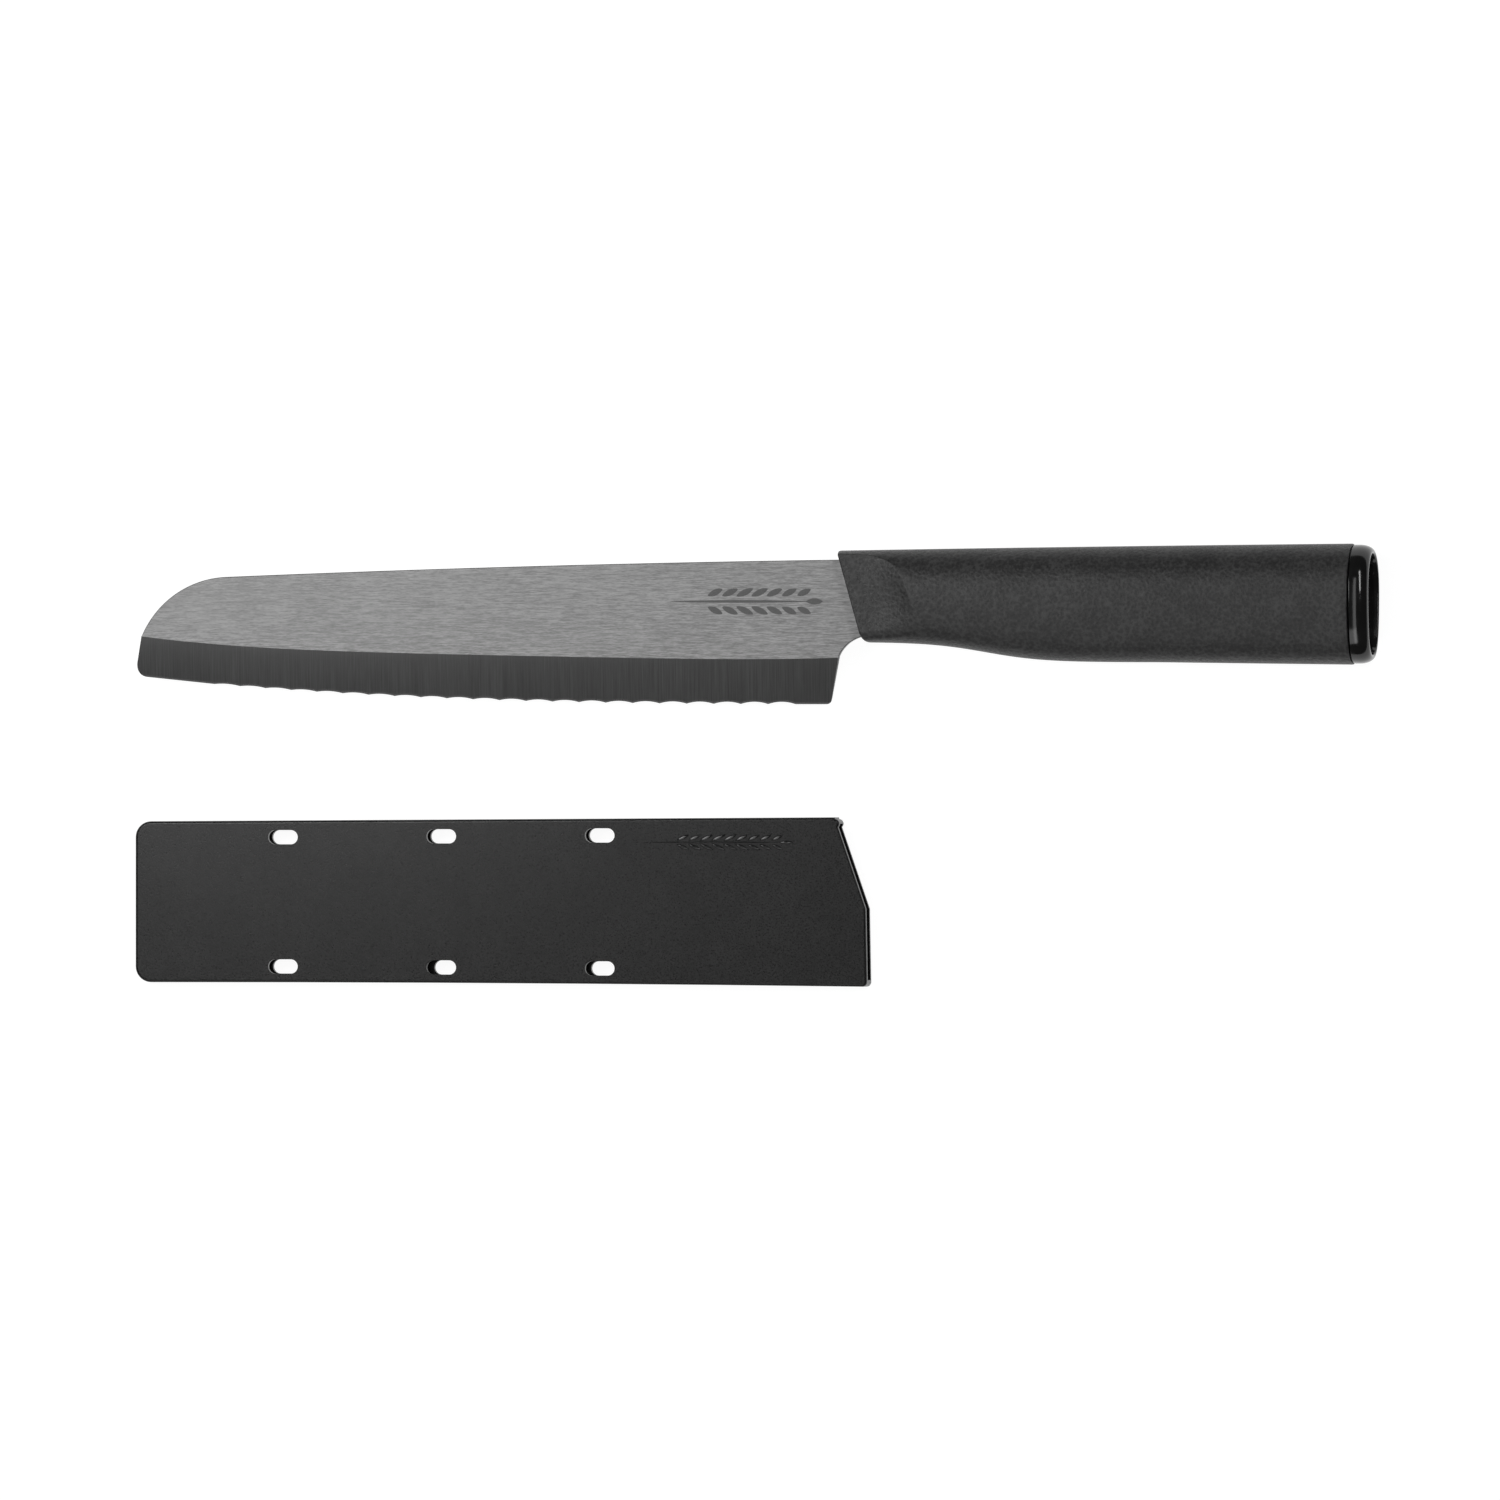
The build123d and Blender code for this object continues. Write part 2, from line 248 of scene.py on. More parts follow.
def grip_material():
    """Matt black soft-touch skin with a fine stipple."""
    g = Graph("grip_stipple")
    pits = g.cells((1100, 1100, 1100))
    fine = g.noise((2400, 2400, 2400), detail=4.0, rough=0.6)
    cloud = g.noise((120, 120, 120), detail=4.0)
    tone = g.math("ADD", g.math("MULTIPLY", fine, 0.6), g.math("MULTIPLY", pits, 0.3))
    tone = g.math("ADD", tone, g.math("MULTIPLY", cloud, 0.25))
    g.base(g.ramp(tone, [(0.42, grey(0.004)), (0.55, grey(0.011)), (0.68, grey(0.03))]))
    g.roughness(g.ramp(fine, [(0.38, 0.4), (0.62, 0.62)]))
    g.bump(g.math("ADD", pits, fine), 0.8, 0.00012)
    g.set(IOR=1.45, Specular_IOR_Level=0.5)
    return g.material


def cap_material():
    """Polished black plastic with the faintest ripple."""
    g = Graph("cap_gloss")
    ripple = g.noise((220, 220, 220), detail=2.0)
    g.base(g.ramp(ripple, [(0.3, grey(0.002)), (0.7, grey(0.005))]))
    g.roughness(g.ramp(ripple, [(0.3, 0.1), (0.7, 0.16)]))
    g.bump(ripple, 0.05, 0.0001)
    g.set(IOR=1.5)
    return g.material


def cover_material():
    """Matt black moulded plastic with a fine spark-eroded grain."""
    g = Graph("cover_grain")
    grain = g.noise((2600, 2600, 2600), detail=4.0, rough=0.65)
    cloud = g.noise((90, 90, 90), detail=4.0)
    tone = g.math("ADD", g.math("MULTIPLY", grain, 0.75), g.math("MULTIPLY", cloud, 0.25))
    g.base(g.ramp(tone, [(0.4, grey(0.001)), (0.5, grey(0.003)), (0.6, grey(0.009))]))
    g.roughness(g.ramp(grain, [(0.38, 0.26), (0.62, 0.4)]))
    g.bump(grain, 0.35, 0.00006)
    g.set(IOR=1.47, Specular_IOR_Level=0.3)
    return g.material


def mark_material():
    """The cover's raised mark, polished smoother than the grain round it."""
    g = Graph("cover_mark_polish")
    ripple = g.noise((700, 700, 700), detail=2.0)
    g.base(g.ramp(ripple, [(0.3, grey(0.001)), (0.7, grey(0.003))]))
    g.roughness(g.ramp(ripple, [(0.3, 0.12), (0.7, 0.2)]))
    g.bump(ripple, 0.05, 0.00005)
    return g.material


def core_material():
    """Plain moulded plastic, seen only when the knife is taken apart."""
    g = Graph("core_plastic")
    grain = g.noise((900, 900, 900), detail=3.0)
    g.base(g.ramp(grain, [(0.3, grey(0.03)), (0.7, grey(0.045))]))
    g.roughness(g.ramp(grain, [(0.3, 0.45), (0.7, 0.6)]))
    return g.material


def adhesive_material():
    """Cured resin."""
    g = Graph("adhesive_resin")
    cloud = g.noise((250, 250, 250), detail=3.0)
    g.base(g.ramp(cloud, [(0.3, (0.36, 0.3, 0.2)), (0.7, (0.46, 0.4, 0.29))]))
    g.roughness(g.ramp(cloud, [(0.3, 0.3), (0.7, 0.5)]))
    return g.material


def pin_material():
    """Turned steel."""
    g = Graph("pin_steel")
    rings = g.noise((700, 700, 5000), detail=2.0)
    g.base(g.ramp(rings, [(0.3, grey(0.5)), (0.7, grey(0.6))]))
    g.roughness(g.ramp(rings, [(0.3, 0.25), (0.7, 0.4)]))
    g.set(Metallic=1.0)
    return g.material


def give(node, material):
    """Puts a material on a carried-over CAD node."""
    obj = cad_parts[node]
    for slot in obj.material_slots:
        slot.material = material
    if not obj.material_slots:
        obj.data.materials.append(material)


# ---------------------------------------------------------------- handle sections, in mm

FRONT_TOP = (180.1, 13.5)
FRONT_FOOT = (186.4, -9.0)
FRONT_RUN = (FRONT_FOOT[0] - FRONT_TOP[0]) / (FRONT_TOP[1] - FRONT_FOOT[1])
CURVE_START = 180.0
WIDEST_Y = 3.0
FULL_ABOVE, FULL_BELOW, FULL_FRONT = 0.6, 0.72, 0.86
NECK_HALF = 6.0
SCOOP_START, SCOOP_RADIUS = 185.4, 28.0
CREASE_LAG, CREASE_SOFTNESS = 2.2, 1.8
TAIL_START, TAIL_DROP = 262.0, 0.6
GRIP_WALL = 2.6


def ease(low, high, value):
    u = np.clip((value - low) / (high - low), 0.0, 1.0)
    return u * u * (3.0 - 2.0 * u)


def handle_top(s):
    u = (s - CURVE_START) / (SEAM_S - CURVE_START)
    return 13.42 + 1.68 * u + 0.5 * u * (1.0 - u)


def handle_bottom(s):
    tail = TAIL_DROP * np.maximum(s - TAIL_START, 0.0) / (SEAM_S - TAIL_START)
    return -12.2 - 2.55 * np.tanh((s - 217.3) / 14.8) - tail


def grip_half(s):
    return 8.6 + 2.0 * (s - CURVE_START) / (SEAM_S - CURVE_START)


def fullness(s, behind):
    """How square the section is: the share of each side that its curves' handles take."""
    return behind + (FULL_FRONT - behind) * (1.0 - ease(180.0, 206.0, s))


def quarter(turn, full):
    """A section curve's two parts, along the height and the thickness, at a turn of 0 to 1."""
    back = 1.0 - turn
    tall = back**3 + 3 * back**2 * turn + 3 * back * turn**2 * full
    wide = 3 * back**2 * turn * full + 3 * back * turn**2 + turn**3
    return tall, wide


def egg_loop(s, inset, count):
    """Points (y, z) of the egg-shaped section; s and inset may be one value for each point."""
    spin = np.arange(count) / count * 4.0
    side = np.floor(spin).astype(int)
    turn = spin - side
    # Quarters run top to side, side to bottom, bottom to side and side to top
    turn = np.where(side % 2 == 1, 1.0 - turn, turn)
    above = (side == 0) | (side == 3)
    tall, wide = quarter(turn, fullness(s, np.where(above, FULL_ABOVE, FULL_BELOW)))
    up = handle_top(s) - inset - WIDEST_Y
    down = WIDEST_Y - handle_bottom(s) - inset
    y = WIDEST_Y + np.where(above, up * tall, -down * tall)
    z = (grip_half(s) - inset) * wide * np.where(side < 2, 1.0, -1.0)
    return y, z


def soft_least(a, b, width):
    """The smaller of two values, rounded off where they are within a width of each other."""
    near = np.maximum(width - np.abs(a - b), 0.0) / width
    return np.minimum(a, b) - near**2 * width / 4.0


def pinched(s, y, z):
    """The section's z once each side of the neck is cut flat and scooped out to the crease."""
    lag = CREASE_LAG * ease(8.0, -3.0, y)
    reach = np.clip(s - SCOOP_START - lag, 0.0, SCOOP_RADIUS * 0.8)
    floor = NECK_HALF + SCOOP_RADIUS - np.sqrt(SCOOP_RADIUS**2 - reach**2)
    behind_or_low = np.maximum(ease(188.0, 198.0, s), ease(-5.0, -8.0, y))
    width = 0.1 + CREASE_SOFTNESS * ease(1.0, -5.0, y) * behind_or_low
    return np.sign(z) * soft_least(np.abs(z), floor, width)


def grid_faces(rows, columns, closed_rows=False):
    """Quads of a grid that is closed around its columns, and around its rows if asked."""
    faces = []
    last = rows if closed_rows else rows - 1
    for row in range(last):
        a, b = row * columns, (row + 1) % rows * columns
        for column in range(columns):
            following = (column + 1) % columns
            faces.append((a + column, a + following, b + following, b + column))
    return faces


def build_grip():
    """The soft skin: outer face, slanted front with the blade's slot, and the hollow inside."""
    count = 320
    seam_round = 0.35
    spin = np.arange(count) / count * 4.0
    # The front edge is rounded more at the belly's corner than on its sides
    front_round = 0.4 + 0.9 * np.clip(1.0 - np.abs(spin - 2.0) / 0.45, 0.0, 1.0) ** 0.5
    loops = []

    def loop(base, slant, inset):
        """A ring at base, the place of the front line's top, leaning by a share of the front's."""
        s = np.full(count, 1.0) * base
        for _ in range(5):
            y, z = egg_loop(s, inset, count)
            s = base + slant * FRONT_RUN * (FRONT_TOP[1] - y)
        z = pinched(s, y, z + np.sign(z) * inset)
        z = np.sign(z) * np.maximum(np.abs(z) - inset, 0.0)
        return np.stack([s, y, z], axis=1)

    def lean(s):
        """The share of the front's slant, which fades out along the grip."""
        return 1.0 - float(ease(190.0, 226.0, s))

    def slot_loop(depth, top, bottom, half):
        """A ring round the blade's slot, on the slanted front moved back by a depth."""
        angle = spin * math.pi / 2
        cos, sin = np.cos(angle), np.sin(angle)
        size = np.maximum(np.abs(cos), np.abs(sin))
        y = np.where(cos > 0, cos * top, cos * bottom) / size
        z = sin * half / size
        return np.stack([FRONT_TOP[0] + depth + FRONT_RUN * (FRONT_TOP[1] - y), y, z], axis=1)

    for step in range(5):
        turn = step / 4 * math.pi / 2
        loops.append(loop(SEAM_S - seam_round * (1.0 - math.cos(turn)), 0.0,
                          seam_round * (1.0 - math.sin(turn))))
    stations = list(np.linspace(SEAM_S - 2.0, 226.0, 50)) + list(np.linspace(225.0, 207.0, 28))
    stations += list(np.linspace(206.5, 184.0, 66)) + list(np.linspace(183.5, 182.2, 4))
    for s in stations:
        loops.append(loop(s, lean(s), 0.0))
    for step in range(9):
        turn = step / 8 * math.pi / 2
        loops.append(loop(FRONT_TOP[0] + front_round * (1.0 - math.sin(turn)), 1.0,
                          front_round * (1.0 - math.cos(turn))))
    front = loops[-1]
    slot = (11.3, 8.45, 1.1)  # how far it reaches up, down and to each side
    slot_depth = 2.4
    target = slot_loop(0.0, *slot)
    for share in (0.3, 0.6, 0.85, 1.0):
        ring = front * (1.0 - share) + target * share
        ring[:, 0] = FRONT_TOP[0] + FRONT_RUN * (FRONT_TOP[1] - ring[:, 1])
        loops.append(ring)
    for depth in (0.15, 1.2, slot_depth):
        loops.append(slot_loop(depth, *slot))
    inner_front = loop(FRONT_TOP[0] + slot_depth, 1.0, GRIP_WALL)
    ring = (loops[-1] + inner_front) / 2
    loops += [ring, inner_front]
    for s in np.linspace(184.5, 218.0, 24):
        loops.append(loop(s, lean(s), GRIP_WALL))
    for s in np.linspace(228.0, SEAM_S, 26):
        loops.append(loop(s, 0.0, GRIP_WALL))
    verts = place(np.concatenate(loops))
    obj = mesh_object("grip_skin", verts, grid_faces(len(loops), count, closed_rows=True))
    fix_normals(obj)
    sharpen(obj, degrees=50.0)
    return obj


def build_cap():
    """The glossy end cap: a rounded ring round an oval recess, and a spigot into the core."""
    count = 256
    start = SEAM_S + 0.3
    end = KNIFE_LENGTH
    inset = 0.25
    outer_round, shoulder, lip_round, ring_wall = 3.4, 1.75, 0.4, 2.25
    recess, recess_round, draft = 3.4, 0.8, 0.12
    spigot, spigot_length = 5.1, 8.0
    profile = [(start, spigot), (start, inset + 0.25)]
    for step in range(5):
        turn = step / 4 * math.pi / 2
        profile.append((start + 0.2 * (1 - math.cos(turn)), inset + 0.2 * (1 - math.sin(turn))))
    for step in range(1, 25):
        turn = step / 24 * math.pi / 2
        profile.append((end - outer_round * (1 - math.sin(turn)),
                        inset + shoulder * (1 - math.cos(turn))))
    lip = inset + ring_wall - lip_round
    for step in range(1, 11):
        turn = step / 10 * math.pi / 2
        profile.append((end - lip_round * (1 - math.cos(turn)), lip + lip_round * math.sin(turn)))
    wall = inset + ring_wall
    for depth in (0.8, 1.3, 1.8, 2.3):
        profile.append((end - depth, wall + draft * depth))
    for step in range(9):
        turn = step / 8 * math.pi / 2
        profile.append((end - recess + recess_round * (1 - math.sin(turn)),
                        wall + 0.32 + recess_round * (1 - math.cos(turn))))
    loops = []
    for s, depth in profile:
        y, z = egg_loop(np.full(count, SEAM_S), depth, count)
        loops.append(np.stack([np.full(count, s), y, z], axis=1))
    floor_edge = loops[-1]
    for share in (0.75, 0.5, 0.25):
        ring = floor_edge.copy()
        ring[:, 1] = WIDEST_Y + (floor_edge[:, 1] - WIDEST_Y) * share
        ring[:, 2] = floor_edge[:, 2] * share
        loops.append(ring)
    y, z = egg_loop(np.full(count, SEAM_S), spigot, count)
    loops = [np.stack([np.full(count, s), y, z], axis=1)
             for s in (start - spigot_length, start - spigot_length / 2)] + loops
    verts = np.concatenate(loops)
    faces = grid_faces(len(loops), count)
    middle = verts[-count:].mean(axis=0)
    foot = verts[:count].mean(axis=0)
    verts = np.concatenate([verts, [middle], [foot]])
    last = (len(loops) - 1) * count
    for column in range(count):
        following = (column + 1) % count
        faces.append((last + column, last + following, len(verts) - 2))
        faces.append((following, column, len(verts) - 1))
    obj = mesh_object("cap_shell", place(verts), faces)
    fix_normals(obj)
    sharpen(obj, degrees=40.0)
    return obj


# ---------------------------------------------------------------- blade, in mm

HEEL_S, HEEL_Y = 176.5, -25.28
BEVEL_S = np.array([-3.0, 14.8, 34.9, 62.0, 95.0, 130.0, 184.0])
BEVEL_Y = np.array([-7.5, -9.7, -11.1, -12.05, -13.1, -13.6, -13.4])
BEVEL_FIT = np.polynomial.polynomial.polyfit(BEVEL_S, BEVEL_Y, 4)
NOSE, NOSE_END, CROWN = (22.9, 6.85), (1.3, -8.1), (103.3, 9.58)
TOE, HEEL_CORNER = (-0.45, -18.05), (177.8, -25.28)
CHOIL_FOOT, CHOIL_MIDDLE, CHOIL_TOP = (179.4, -14.8), (181.5, -10.8), (185.4, -8.4)
SEAT_POINTS = [(187.4, -7.4), (186.5, -4.0)]
SPINE_END_Y = 11.15
BLADE_HALF = 1.0
SCALLOPS = 22
FIRST_TOOTH, TOOTH_PITCH, PITCH_STEP = 168.7, 7.0, 0.0225
DEPTH_HEEL, DEPTH_TOE = 0.6, 0.3


def edge_y(s):
    """The line through the scallops' points: straight at the heel, rising to the toe."""
    u = (HEEL_S - np.clip(s, 0.0, HEEL_S)) / HEEL_S
    return HEEL_Y + 0.3 * u + 6.7 * u**2.7


def bevel_y(s):
    """Where the bevel leaves the flat: a smooth curve through a few heights."""
    return float(np.polynomial.polynomial.polyval(s, BEVEL_FIT))


def arc_points(centre, radius, start, end, count):
    angles = np.radians(np.linspace(start, end, count))
    return [(centre[0] + radius * math.cos(a), centre[1] + radius * math.sin(a)) for a in angles]


def circle_through(a, b, c):
    """Centre and radius of the circle through three points."""
    ax, ay, bx, by, cx, cy = *a, *b, *c
    d = 2 * (ax * (by - cy) + bx * (cy - ay) + cx * (ay - by))
    a2, b2, c2 = ax * ax + ay * ay, bx * bx + by * by, cx * cx + cy * cy
    ux = (a2 * (by - cy) + b2 * (cy - ay) + c2 * (ay - by)) / d
    uy = (a2 * (cx - bx) + b2 * (ax - cx) + c2 * (bx - ax)) / d
    return (ux, uy), math.hypot(ax - ux, ay - uy)


def rounded(before, corner, after, radius, count):
    """The points of a corner rounded to a radius, between two neighbours."""
    corner = np.array(corner)
    to_before = np.array(before) - corner
    to_after = np.array(after) - corner
    to_before /= np.linalg.norm(to_before)
    to_after /= np.linalg.norm(to_after)
    half = math.acos(float(to_before @ to_after)) / 2
    middle = to_before + to_after
    centre = corner + middle / np.linalg.norm(middle) * radius / math.sin(half)
    start = corner + to_before * radius / math.tan(half)
    end = corner + to_after * radius / math.tan(half)
    points = []
    for share in np.linspace(0.0, 1.0, count):
        toward = start * (1 - share) + end * share - centre
        points.append(tuple(centre + toward / np.linalg.norm(toward) * radius))
    return points


def cutting_edge():
    """The blade's lower outline from the toe's round to the heel's, scallops included."""
    teeth, s = [], FIRST_TOOTH
    for tooth in range(SCALLOPS + 1):
        teeth.append((s, float(edge_y(s))))
        s -= TOOTH_PITCH - PITCH_STEP * tooth
    points = rounded(NOSE_END, TOE, teeth[-1], 2.8, 12)
    toe_end = np.array(points[-1])
    for share in np.linspace(0.0, 1.0, 9)[1:]:
        points.append(tuple(toe_end * (1 - share) + np.array(teeth[-1]) * share))
    for tooth in range(SCALLOPS, 0, -1):
        low, high = np.array(teeth[tooth]), np.array(teeth[tooth - 1])
        depth = DEPTH_HEEL + (DEPTH_TOE - DEPTH_HEEL) * tooth / SCALLOPS
        for step in range(1, 11):
            u = step / 10
            points.append(tuple(low * (1 - u) + high * u + np.array([0, depth * 4 * u * (1 - u)])))
    heel_from, heel_to = np.array(teeth[0]), np.array([HEEL_S - 0.2, HEEL_Y])
    for share in np.linspace(0.0, 1.0, 5)[1:]:
        points.append(tuple(heel_from * (1 - share) + heel_to * share))
    points += rounded((HEEL_S, HEEL_Y), HEEL_CORNER, CHOIL_FOOT, 1.3, 8)[1:]
    return points


def build_blade():
    """One side's bevel as a grid of points, and the outline of the rest of the plate."""
    half, bevel_half, lip, lip_half = BLADE_HALF, 0.15, 0.42, 0.06
    edge = cutting_edge()
    # Down the blunt end of the nose, and up the heel to where the bevel meets the choil
    nose_end, nose = np.array(NOSE_END), np.array(NOSE)
    choil_centre, choil_radius = circle_through(CHOIL_FOOT, CHOIL_MIDDLE, CHOIL_TOP)
    start, top = (math.degrees(math.atan2(p[1] - choil_centre[1], p[0] - choil_centre[0]))
                  for p in (CHOIL_FOOT, CHOIL_TOP))
    choil = arc_points(choil_centre, choil_radius, start, top, 26)
    meet = next(i for i, p in enumerate(choil) if p[1] > bevel_y(p[0]))
    heel_top = np.array(choil[meet])
    # Rows from the flat to the edge, as shares of the way; None is the lip's own width short
    shares = [0.0, 0.16, 0.32, 0.48, 0.64, 0.8, None, 1.0]
    rows, count = len(shares), len(edge)
    edge_points = np.array(edge)
    first, last = edge_points[0, 0], edge_points[-1, 0]
    grid = np.zeros((rows, count, 3))
    for column, (s, y) in enumerate(edge):
        line_s = nose_end[0] + (s - first) / (last - first) * (heel_top[0] - nose_end[0])
        line = np.array([line_s, bevel_y(line_s)])
        if column == 0:
            line = nose_end
        if column == count - 1:
            line = heel_top
        length = max(np.linalg.norm(line - (s, y)), 1e-6)
        for row, share in enumerate(shares):
            share = 1.0 - lip / length if share is None else share
            point = line * (1 - share) + np.array([s, y]) * share
            height = bevel_y(point[0]) - float(edge_y(point[0]))
            down = max(bevel_y(point[0]) - point[1], 0.0) / height
            z = half - (half - bevel_half) * (0.55 * down + 0.45 * down**2)
            grid[row, column] = (point[0], point[1], z)
        grid[rows - 1, column, 2] = lip_half
    grid[0, :, 2] = half
    # The rest of the outline, from the heel's top round by the spine to the nose
    spine_end_s = FRONT_TOP[0] + FRONT_RUN * (FRONT_TOP[1] - SPINE_END_Y) + 1.5
    spine_end = np.array([spine_end_s, SPINE_END_Y])
    outline = [tuple(p) for p in choil[meet:]]
    outline += SEAT_POINTS + [tuple(spine_end)]
    spine_centre, spine_radius = circle_through(spine_end, CROWN, nose)
    spine_from, spine_to = (math.degrees(math.atan2(p[1] - spine_centre[1], p[0] - spine_centre[0]))
                            for p in (spine_end, nose))
    outline += arc_points(spine_centre, spine_radius, spine_from, spine_to, 18)[1:-1]
    normal = (np.array(spine_centre) - nose) / spine_radius
    normal = normal if normal[1] < 0 else -normal
    chord = nose_end - nose
    radius = float(chord @ chord) / (2 * float(chord @ normal))
    centre = nose + normal * radius
    a0 = math.degrees(math.atan2(*(nose - centre)[::-1]))
    a1 = math.degrees(math.atan2(*(nose_end - centre)[::-1]))
    if a1 < a0:
        a1 += 360.0
    outline += arc_points(centre, radius, a0, a1, 30)
    return grid, np.array(outline)


# The blade's material slots
FLAT, BEVEL, LIP_AND_PAINTED_RIM = 0, 1, 2


def assemble_blade():
    """Both sides of the blade, joined round the outline into one closed mesh."""
    grid, rim = build_blade()
    rows, count, _ = grid.shape
    ease_width = 0.16
    verts, faces, kinds = [], [], []
    # Inset copy of the rim for the eased edge
    before = np.roll(rim, 1, axis=0)
    after = np.roll(rim, -1, axis=0)
    before[0] = grid[1, -1, :2]
    after[-1] = grid[1, 0, :2]
    tangent = after - before
    tangent /= np.linalg.norm(tangent, axis=1)[:, None]
    inward = np.stack([-tangent[:, 1], tangent[:, 0]], axis=1)
    inner = rim + inward * ease_width
    inner[0], inner[-1] = rim[0], rim[-1]

    def side(sign):
        """Adds one side's faces and returns the loop of its outer points."""
        base = len(verts)
        for row in range(rows):
            for column in range(count):
                s, y, z = grid[row, column]
                verts.append((s, y, sign * z))
        for (s, y) in inner[1:-1]:
            verts.append((s, y, sign * BLADE_HALF))
        ring_base = len(verts)
        for (s, y) in rim[1:-1]:
            verts.append((s, y, sign * (BLADE_HALF - ease_width)))
        for row in range(rows - 1):
            for column in range(count - 1):
                a = base + row * count + column
                quad = (a, a + 1, a + count + 1, a + count)
                faces.append(quad if sign < 0 else quad[::-1])
                kinds.append(LIP_AND_PAINTED_RIM if row == rows - 2 else BEVEL)
        inner_ids = [base + rows * count + i for i in range(len(rim) - 2)]
        flat = [base + c for c in range(count)] + inner_ids
        faces.append(flat if sign > 0 else flat[::-1])
        kinds.append(FLAT)
        ring_ids = [ring_base + i for i in range(len(rim) - 2)]
        chain_in = [base + count - 1] + inner_ids + [base]
        chain_out = [base + count - 1] + ring_ids + [base]
        for i in range(len(chain_in) - 1):
            quad = [chain_in[i], chain_out[i], chain_out[i + 1], chain_in[i + 1]]
            clean = list(dict.fromkeys(quad))
            faces.append(tuple(clean) if sign > 0 else tuple(clean[::-1]))
            # The eased outline takes the dark lip colour: painted shade, drawn as a dark line round
            # the blade.
            kinds.append(LIP_AND_PAINTED_RIM)
        down_nose = [base + row * count for row in range(rows)]
        along = [base + (rows - 1) * count + c for c in range(count)]
        up_heel = [base + row * count + count - 1 for row in range(rows - 1, -1, -1)]
        return down_nose + along[1:] + up_heel[1:] + ring_ids

    top_loop = side(1)
    bottom_loop = side(-1)
    total = len(top_loop)
    edge_from, edge_to = rows - 1, rows - 1 + count - 1
    for i in range(total):
        j = (i + 1) % total
        faces.append((top_loop[i], top_loop[j], bottom_loop[j], bottom_loop[i]))
        on_bevel = i < edge_from or edge_to <= i < edge_to + rows - 1
        # Rim walls off the bevel take the dark lip colour too: painted shade along the spine and
        # the nose.
        kinds.append(BEVEL if on_bevel else LIP_AND_PAINTED_RIM)
    obj = mesh_object("blade_plate", place(verts), faces, kinds)
    fix_normals(obj)
    sharpen(obj, degrees=3.0)
    return obj


# ---------------------------------------------------------------- marks


def kernel(verts, faces, centre, length, width, height, lean, count=20, rings=3):
    """One raised grain: a pointed oval with a domed top."""
    base = len(verts)
    cos, sin = math.cos(lean), math.sin(lean)
    levels = [(1.0, 0.0)] + [(math.cos(k / rings * 1.35), math.sin(k / rings * 1.35))
                             for k in range(1, rings + 1)]
    for size, up in levels:
        for k in range(count):
            a = 2 * math.pi * k / count
            u = length / 2 * size * math.cos(a)
            v = width / 2 * size * math.sin(a) * (1 - 0.35 * abs(math.cos(a)) ** 2)
            verts.append((centre[0] + u * cos - v * sin, centre[1] + u * sin + v * cos,
                          centre[2] + height * up))
    for level in range(len(levels) - 1):
        for k in range(count):
            n = (k + 1) % count
            a, b = base + level * count, base + (level + 1) * count
            faces.append((a + k, a + n, b + n, b + k))
    faces.append(tuple(base + (len(levels) - 1) * count + k for k in range(count)))
    faces.append(tuple(base + count - 1 - k for k in range(count)))


def wheat_ear(name, origin, length, height, rise, pairs):
    """A generic ear of wheat lying along +X: a stalk with pairs of leaning grains."""
    verts, faces = [], []
    x, y, z = origin
    step = length * 0.68 / pairs
    kernel(verts, faces, (x + length * 0.5, y, z), length, height * 0.09, rise, 0.0)
    for pair in range(pairs):
        grow = 1.0 - 0.35 * abs(pair / (pairs - 1) - 0.4)
        for side in (1, -1):
            place_x = x + length * 0.3 + step * pair + step * 0.4
            place_y = y + side * height * 0.27
            kernel(verts, faces, (place_x, place_y, z), step * 1.35 * grow, height * 0.2,
                   rise, side * math.radians(24))
    kernel(verts, faces, (x + length * 0.99, y, z), step * 1.2, height * 0.2, rise, 0.0)
    obj = mesh_object(name, np.array(verts) * MM, faces)
    fix_normals(obj)
    return obj


# ---------------------------------------------------------------- build the object

blade = assemble_blade()
for maker in (blade_flat_material, blade_bevel_material, edge_lip_and_painted_rim_material):
    blade.data.materials.append(maker())
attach(blade, "knife")
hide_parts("blade")

grip = build_grip()
grip.data.materials.append(grip_material())
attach(grip, "knife")
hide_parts("grip_sleeve")

cap = build_cap()
cap.data.materials.append(cap_material())
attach(cap, "knife")
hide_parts("end_cap")

# Both marks are sunk a hair into their faces, so no gap shows under them
blade_mark = wheat_ear("blade_mark", (-22.5, 41.3, KNIFE_Z + BLADE_HALF - 0.01),
                       length=39.0, height=8.4, rise=0.03, pairs=7)
blade_mark.data.materials.append(ink_material())
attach(blade_mark, "knife")

cover_skin = cover_material()
cover_mark = wheat_ear("cover_mark", (-31.5, -19.4, COVER_HIGH[2] - 0.02),
                       length=40.0, height=4.4, rise=0.24, pairs=9)
cover_mark.data.materials.append(mark_material())
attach(cover_mark, "cover")

give("blade_cover", cover_skin)
core = core_material()
give("handle_core_left", core)
give("handle_core_right", core)
give("tang_pins", pin_material())
give("tang_bond", adhesive_material())

# ---------------------------------------------------------------- stage

FLOOR_SIZE = 6.0


def floor():
    """Paper that gives off its own light, so it shows as white as in the photo."""
    mesh = bpy.data.meshes.new("floor")
    h = FLOOR_SIZE / 2
    mesh.from_pydata([(-h, -h, 0), (h, -h, 0), (h, h, 0), (-h, h, 0)], [], [(0, 1, 2, 3)])
    obj = bpy.data.objects.new("floor", mesh)
    bpy.context.collection.objects.link(obj)
    g = Graph("floor_paper")
    fibre = g.noise((40, 40, 40), detail=3.0)
    g.base(g.ramp(fibre, [(0.3, grey(0.14)), (0.7, grey(0.16))]))
    g.set(Roughness=0.9, Specular_IOR_Level=0.0,
          Emission_Color=(1, 1, 1, 1), Emission_Strength=0.94)
    mesh.materials.append(g.material)


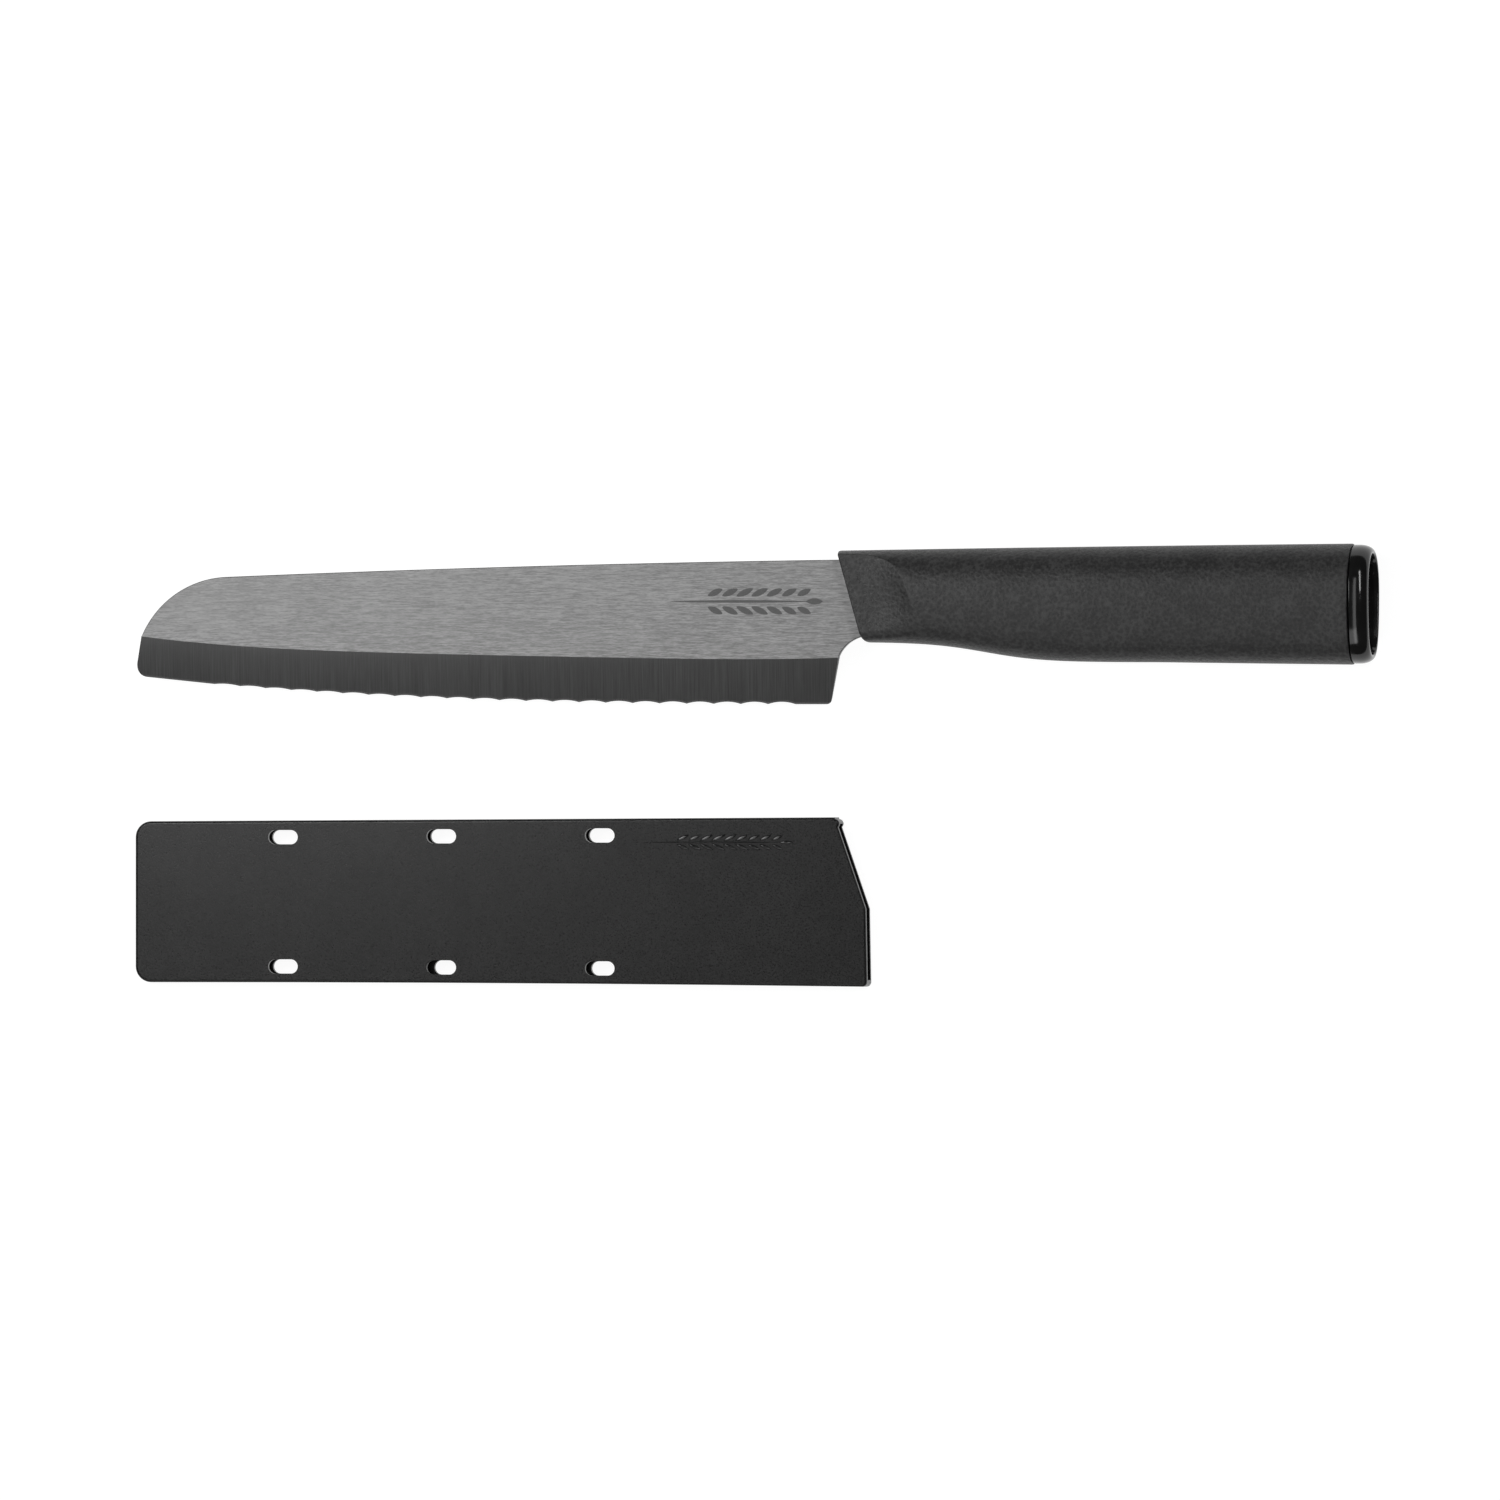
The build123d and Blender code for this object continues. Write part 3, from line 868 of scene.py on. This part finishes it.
def area_light(name, location, target, size, power):
    """A rectangular light; places and sizes are in metres, its power in watts."""
    data = bpy.data.lights.new(name, "AREA")
    data.shape = "RECTANGLE"
    data.size, data.size_y = size
    data.energy = power
    obj = bpy.data.objects.new(name, data)
    # The second side runs along Y as nearly as the aim allows
    back = (Vector(location) - Vector(target)).normalized()
    along = (Vector((0.0, 1.0, 0.0)) - back * back.y).normalized()
    across = along.cross(back)
    obj.matrix_world = Matrix.Translation(location) @ Matrix(
        (across, along, back)).transposed().to_4x4()
    bpy.context.collection.objects.link(obj)


def studio():
    """A dim white world and four soft lights above the floor."""
    world = bpy.data.worlds.new("studio")
    world.use_nodes = True
    background = world.node_tree.nodes["Background"]
    background.inputs["Color"].default_value = (1.0, 1.0, 1.0, 1.0)
    background.inputs["Strength"].default_value = 0.09
    bpy.context.scene.world = world
    area_light("key", (-0.24, 0.14, 0.5), (0.0, 0.0, 0.0), (0.2, 0.25), 1.6)
    area_light("right", (0.5, 0.42, 0.95), (0.0, 0.0, 0.0), (0.1, 0.75), 2.6)
    area_light("top", (0.03, -0.25, 1.3), (0.03, 0.0, 0.0), (0.24, 2.0), 2.8)
    area_light("low", (-0.3, -0.75, 1.0), (0.03, 0.0, 0.0), (1.1, 0.6), 3.4)


def camera():
    """A long lens, square to the blade's face but a little round to the handle's end."""
    turn = math.radians(10.0)
    distance = 15.0
    width = 0.3779
    target = Vector((-0.00055, 0.00387, KNIFE_Z * MM))
    away = Vector((math.sin(turn), 0.0, math.cos(turn)))
    data = bpy.data.cameras.new("camera")
    data.sensor_width = 36.0
    data.lens = data.sensor_width * distance / width
    data.clip_end = 100.0
    obj = bpy.data.objects.new("camera", data)
    right = Vector((math.cos(turn), 0.0, -math.sin(turn)))
    up = Vector((0.0, 1.0, 0.0))
    obj.matrix_world = Matrix.Translation(target + away * distance) @ Matrix(
        (right, up, away)).transposed().to_4x4()
    bpy.context.collection.objects.link(obj)
    bpy.context.scene.camera = obj


floor()
studio()
camera()
bpy.context.scene.view_settings.view_transform = "Standard"
